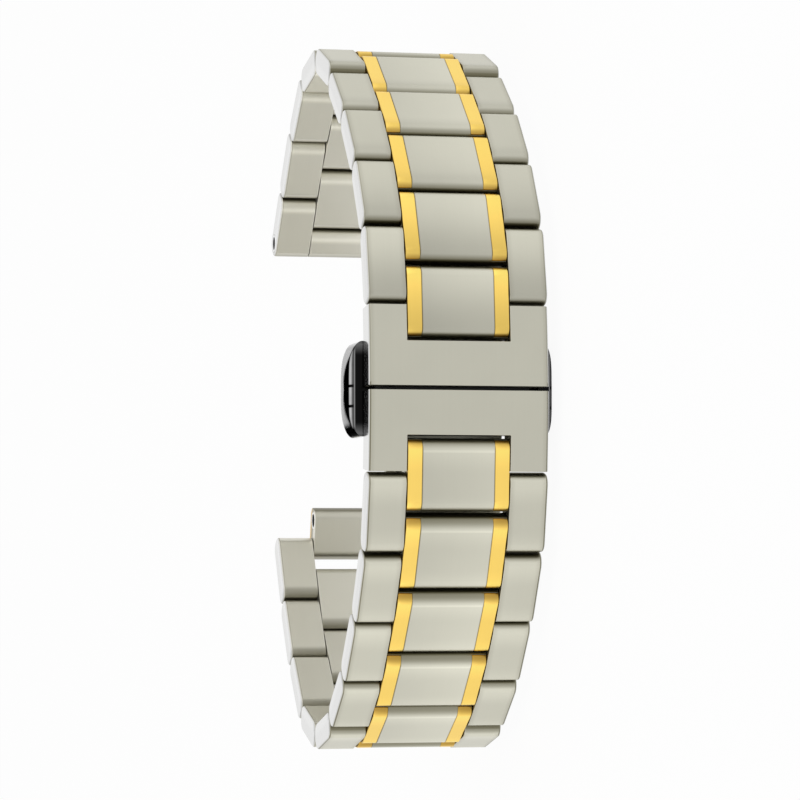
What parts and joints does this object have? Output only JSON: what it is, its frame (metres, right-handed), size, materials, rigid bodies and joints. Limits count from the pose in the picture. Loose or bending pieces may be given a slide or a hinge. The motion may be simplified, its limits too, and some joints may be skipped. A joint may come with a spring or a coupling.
{
  "type": "watch bracelet",
  "caption": "Two-tone five-row steel link bracelet for a watch, closed by a double folding clasp with a push button on each side; every link, blade and button moves",
  "frame": {"origin": "middle of the bounding box on the plane the part lies on, with the long side of the band down", "axes": "+Z is along the hinge axes and the band width; -Y is the way the clasp faces; +X runs along the clasp towards half a, the upper half in the picture"},
  "size_m": [0.0812, 0.0594, 0.0233],
  "materials": {
    "steel": "satin brushed along the band, sides polished",
    "link_steel": "satin brushed steel body with two satin gold strips on its outer face",
    "gold": "satin",
    "polished_steel": "polished"
  },
  "bodies": {
    "base": {"base_plate": "steel", "latch_housing": "steel", "a_base_pin": "polished_steel", "b_base_pin": "polished_steel", "spring_left": "polished_steel", "spring_right": "polished_steel"},
    "button_left": {"pusher_left": "polished_steel"},
    "button_right": {"pusher_right": "polished_steel"},
    "a_blade_body": {"a_blade": "steel"},
    "a_cover_body": {"a_cover": "steel", "a_latch_hooks": "polished_steel", "a_tip_pin": "polished_steel"},
    "a_center_1_link": {"a_center_1": "link_steel"},
    "a_outer_1_link": {"a_outer_1": "steel"},
    "a_center_2_link": {"a_center_2": "link_steel"},
    "a_outer_2_link": {"a_outer_2": "steel"},
    "a_center_3_link": {"a_center_3": "link_steel"},
    "a_outer_3_link": {"a_outer_3": "steel"},
    "a_center_4_link": {"a_center_4": "link_steel"},
    "a_outer_4_link": {"a_outer_4": "steel"},
    "a_center_5_link": {"a_center_5": "link_steel"},
    "a_outer_5_link": {"a_outer_5": "steel"},
    "a_center_6_link": {"a_center_6": "link_steel"},
    "a_outer_6_link": {"a_outer_6": "steel"},
    "a_center_7_link": {"a_center_7": "link_steel"},
    "a_outer_7_link": {"a_outer_7": "steel"},
    "a_center_8_link": {"a_center_8": "link_steel"},
    "a_outer_8_link": {"a_outer_8": "steel"},
    "a_center_9_link": {"a_center_9": "link_steel"},
    "a_outer_9_link": {"a_outer_9": "steel", "a_end_filler": "link_steel", "a_end_tube": "steel"},
    "b_blade_body": {"b_blade": "steel"},
    "b_cover_body": {"b_cover": "steel", "b_latch_hooks": "polished_steel", "b_tip_pin": "polished_steel"},
    "b_center_1_link": {"b_center_1": "link_steel"},
    "b_outer_1_link": {"b_outer_1": "steel"},
    "b_center_2_link": {"b_center_2": "link_steel"},
    "b_outer_2_link": {"b_outer_2": "steel"},
    "b_center_3_link": {"b_center_3": "link_steel"},
    "b_outer_3_link": {"b_outer_3": "steel"},
    "b_center_4_link": {"b_center_4": "link_steel"},
    "b_outer_4_link": {"b_outer_4": "steel"},
    "b_center_5_link": {"b_center_5": "link_steel"},
    "b_outer_5_link": {"b_outer_5": "steel"},
    "b_center_6_link": {"b_center_6": "link_steel"},
    "b_outer_6_link": {"b_outer_6": "steel"},
    "b_center_7_link": {"b_center_7": "link_steel"},
    "b_outer_7_link": {"b_outer_7": "steel"},
    "b_center_8_link": {"b_center_8": "link_steel"},
    "b_outer_8_link": {"b_outer_8": "steel"},
    "b_center_9_link": {"b_center_9": "link_steel"},
    "b_outer_9_link": {"b_outer_9": "steel"},
    "b_center_10_link": {"b_center_10": "link_steel", "b_end_tube": "steel"}
  },
  "joints": [
    {"name": "a_blade_hinge", "type": "hinge", "parent": "base", "child": "a_blade_body", "pos_m": [0.01592, -0.02168, 0.01165], "axis": [0, 0, 1], "range_deg": [0, 150]},
    {"name": "a_cover_hinge", "type": "hinge", "parent": "a_blade_body", "child": "a_cover_body", "pos_m": [0.00622, -0.02359, 0.01165], "axis": [0, 0, 1], "range_deg": [-150, 0]},
    {"name": "b_blade_hinge", "type": "hinge", "parent": "base", "child": "b_blade_body", "pos_m": [-0.01708, -0.02168, 0.01165], "axis": [0, 0, 1], "range_deg": [-150, 0]},
    {"name": "b_cover_hinge", "type": "hinge", "parent": "b_blade_body", "child": "b_cover_body", "pos_m": [-0.00738, -0.02359, 0.01165], "axis": [0, 0, 1], "range_deg": [0, 150]},
    {"name": "button_left_slide", "type": "slide", "parent": "base", "child": "button_left", "axis": [0, 0, -1], "range_m": [0, 0.001], "stiffness_N_per_m": 150, "springref_m": -0.001, "deforming": ["spring_left"]},
    {"name": "button_right_slide", "type": "slide", "parent": "base", "child": "button_right", "axis": [0, 0, 1], "range_m": [0, 0.001], "stiffness_N_per_m": 150, "springref_m": -0.001, "deforming": ["spring_right"]},
    {"name": "a_center_1_hinge", "type": "hinge", "parent": "a_cover_body", "child": "a_center_1_link", "pos_m": [0.00618, -0.0279, 0.01165], "axis": [0, 0, 1], "range_deg": [-3, 5]},
    {"name": "a_outer_1_hinge", "type": "hinge", "parent": "a_center_1_link", "child": "a_outer_1_link", "pos_m": [0.01062, -0.02751, 0.01165], "axis": [0, 0, 1], "range_deg": [-11, 7]},
    {"name": "a_center_2_hinge", "type": "hinge", "parent": "a_outer_1_link", "child": "a_center_2_link", "pos_m": [0.01495, -0.02652, 0.01165], "axis": [0, 0, 1], "range_deg": [-15, 3]},
    {"name": "a_outer_2_hinge", "type": "hinge", "parent": "a_center_2_link", "child": "a_outer_2_link", "pos_m": [0.01899, -0.02464, 0.01165], "axis": [0, 0, 1], "range_deg": [-12, 6]},
    {"name": "a_center_3_hinge", "type": "hinge", "parent": "a_outer_2_link", "child": "a_center_3_link", "pos_m": [0.02268, -0.02216, 0.01165], "axis": [0, 0, 1], "range_deg": [-10, 8]},
    {"name": "a_outer_3_hinge", "type": "hinge", "parent": "a_center_3_link", "child": "a_outer_3_link", "pos_m": [0.02604, -0.01924, 0.01165], "axis": [0, 0, 1], "range_deg": [-7, 11]},
    {"name": "a_center_4_hinge", "type": "hinge", "parent": "a_outer_3_link", "child": "a_center_4_link", "pos_m": [0.02919, -0.0161, 0.01165], "axis": [0, 0, 1], "range_deg": [-10, 8]},
    {"name": "a_outer_4_hinge", "type": "hinge", "parent": "a_center_4_link", "child": "a_outer_4_link", "pos_m": [0.03193, -0.01259, 0.01165], "axis": [0, 0, 1], "range_deg": [-6, 12]},
    {"name": "a_center_5_hinge", "type": "hinge", "parent": "a_outer_4_link", "child": "a_center_5_link", "pos_m": [0.03449, -0.00895, 0.01165], "axis": [0, 0, 1], "range_deg": [-3, 15]},
    {"name": "a_outer_5_hinge", "type": "hinge", "parent": "a_center_5_link", "child": "a_outer_5_link", "pos_m": [0.03705, -0.00531, 0.01165], "axis": [0, 0, 1], "range_deg": [-18, 0]},
    {"name": "a_center_6_hinge", "type": "hinge", "parent": "a_outer_5_link", "child": "a_center_6_link", "pos_m": [0.03857, -0.00113, 0.01165], "axis": [0, 0, 1], "range_deg": [-18, 0]},
    {"name": "a_outer_6_hinge", "type": "hinge", "parent": "a_center_6_link", "child": "a_outer_6_link", "pos_m": [0.03896, 0.00331, 0.01165], "axis": [0, 0, 1], "range_deg": [-18, 0]},
    {"name": "a_center_7_hinge", "type": "hinge", "parent": "a_outer_6_link", "child": "a_center_7_link", "pos_m": [0.0382, 0.00769, 0.01165], "axis": [0, 0, 1], "range_deg": [-18, 0]},
    {"name": "a_outer_7_hinge", "type": "hinge", "parent": "a_center_7_link", "child": "a_outer_7_link", "pos_m": [0.03632, 0.01173, 0.01165], "axis": [0, 0, 1], "range_deg": [-17, 1]},
    {"name": "a_center_8_hinge", "type": "hinge", "parent": "a_outer_7_link", "child": "a_center_8_link", "pos_m": [0.03352, 0.01519, 0.01165], "axis": [0, 0, 1], "range_deg": [-3, 15]},
    {"name": "a_outer_8_hinge", "type": "hinge", "parent": "a_center_8_link", "child": "a_outer_8_link", "pos_m": [0.03072, 0.01865, 0.01165], "axis": [0, 0, 1], "range_deg": [-11, 7]},
    {"name": "a_center_9_hinge", "type": "hinge", "parent": "a_outer_8_link", "child": "a_center_9_link", "pos_m": [0.02747, 0.02169, 0.01165], "axis": [0, 0, 1], "range_deg": [-4, 14]},
    {"name": "a_outer_9_hinge", "type": "hinge", "parent": "a_center_9_link", "child": "a_outer_9_link", "pos_m": [0.02417, 0.02467, 0.01165], "axis": [0, 0, 1], "range_deg": [-3, 15]},
    {"name": "b_center_1_hinge", "type": "hinge", "parent": "b_cover_body", "child": "b_center_1_link", "pos_m": [-0.00735, -0.0279, 0.01165], "axis": [0, 0, 1], "range_deg": [-5, 3]},
    {"name": "b_outer_1_hinge", "type": "hinge", "parent": "b_center_1_link", "child": "b_outer_1_link", "pos_m": [-0.01178, -0.02751, 0.01165], "axis": [0, 0, 1], "range_deg": [-7, 11]},
    {"name": "b_center_2_hinge", "type": "hinge", "parent": "b_outer_1_link", "child": "b_center_2_link", "pos_m": [-0.01612, -0.02652, 0.01165], "axis": [0, 0, 1], "range_deg": [0, 18]},
    {"name": "b_outer_2_hinge", "type": "hinge", "parent": "b_center_2_link", "child": "b_outer_2_link", "pos_m": [-0.02005, -0.02443, 0.01165], "axis": [0, 0, 1], "range_deg": [-10, 8]},
    {"name": "b_center_3_hinge", "type": "hinge", "parent": "b_outer_2_link", "child": "b_center_3_link", "pos_m": [-0.02379, -0.02201, 0.01165], "axis": [0, 0, 1], "range_deg": [-6, 12]},
    {"name": "b_outer_3_hinge", "type": "hinge", "parent": "b_center_3_link", "child": "b_outer_3_link", "pos_m": [-0.0271, -0.01904, 0.01165], "axis": [0, 0, 1], "range_deg": [-15, 3]},
    {"name": "b_center_4_hinge", "type": "hinge", "parent": "b_outer_3_link", "child": "b_center_4_link", "pos_m": [-0.03041, -0.01606, 0.01165], "axis": [0, 0, 1], "range_deg": [-8, 10]},
    {"name": "b_outer_4_hinge", "type": "hinge", "parent": "b_center_4_link", "child": "b_outer_4_link", "pos_m": [-0.03333, -0.01271, 0.01165], "axis": [0, 0, 1], "range_deg": [-8, 10]},
    {"name": "b_center_5_hinge", "type": "hinge", "parent": "b_outer_4_link", "child": "b_center_5_link", "pos_m": [-0.03582, -0.00902, 0.01165], "axis": [0, 0, 1], "range_deg": [-9, 9]},
    {"name": "b_outer_5_hinge", "type": "hinge", "parent": "b_center_5_link", "child": "b_outer_5_link", "pos_m": [-0.03791, -0.00509, 0.01165], "axis": [0, 0, 1], "range_deg": [0, 18]},
    {"name": "b_center_6_hinge", "type": "hinge", "parent": "b_outer_5_link", "child": "b_center_6_link", "pos_m": [-0.03892, -0.00076, 0.01165], "axis": [0, 0, 1], "range_deg": [0, 18]},
    {"name": "b_outer_6_hinge", "type": "hinge", "parent": "b_center_6_link", "child": "b_outer_6_link", "pos_m": [-0.03877, 0.00369, 0.01165], "axis": [0, 0, 1], "range_deg": [-2, 16]},
    {"name": "b_center_7_hinge", "type": "hinge", "parent": "b_outer_6_link", "child": "b_center_7_link", "pos_m": [-0.03762, 0.00799, 0.01165], "axis": [0, 0, 1], "range_deg": [0, 18]},
    {"name": "b_outer_7_hinge", "type": "hinge", "parent": "b_center_7_link", "child": "b_outer_7_link", "pos_m": [-0.0354, 0.01184, 0.01165], "axis": [0, 0, 1], "range_deg": [-1, 17]},
    {"name": "b_center_8_hinge", "type": "hinge", "parent": "b_outer_7_link", "child": "b_center_8_link", "pos_m": [-0.03231, 0.01505, 0.01165], "axis": [0, 0, 1], "range_deg": [-15, 3]},
    {"name": "b_outer_8_hinge", "type": "hinge", "parent": "b_center_8_link", "child": "b_outer_8_link", "pos_m": [-0.02922, 0.01825, 0.01165], "axis": [0, 0, 1], "range_deg": [-6, 12]},
    {"name": "b_center_9_hinge", "type": "hinge", "parent": "b_outer_8_link", "child": "b_center_9_link", "pos_m": [-0.02567, 0.02093, 0.01165], "axis": [0, 0, 1], "range_deg": [-9, 9]},
    {"name": "b_outer_9_hinge", "type": "hinge", "parent": "b_center_9_link", "child": "b_outer_9_link", "pos_m": [-0.02186, 0.02323, 0.01165], "axis": [0, 0, 1], "range_deg": [-15, 3]},
    {"name": "b_center_10_hinge", "type": "hinge", "parent": "b_outer_9_link", "child": "b_center_10_link", "pos_m": [-0.01743, 0.0259, 0.01165], "axis": [0, 0, 1], "range_deg": [-20, 45]}
  ],
  "couplings": [
    {"joint": "a_cover_hinge", "follows": "a_blade_hinge", "ratio": -1},
    {"joint": "b_cover_hinge", "follows": "b_blade_hinge", "ratio": -1}
  ]
}
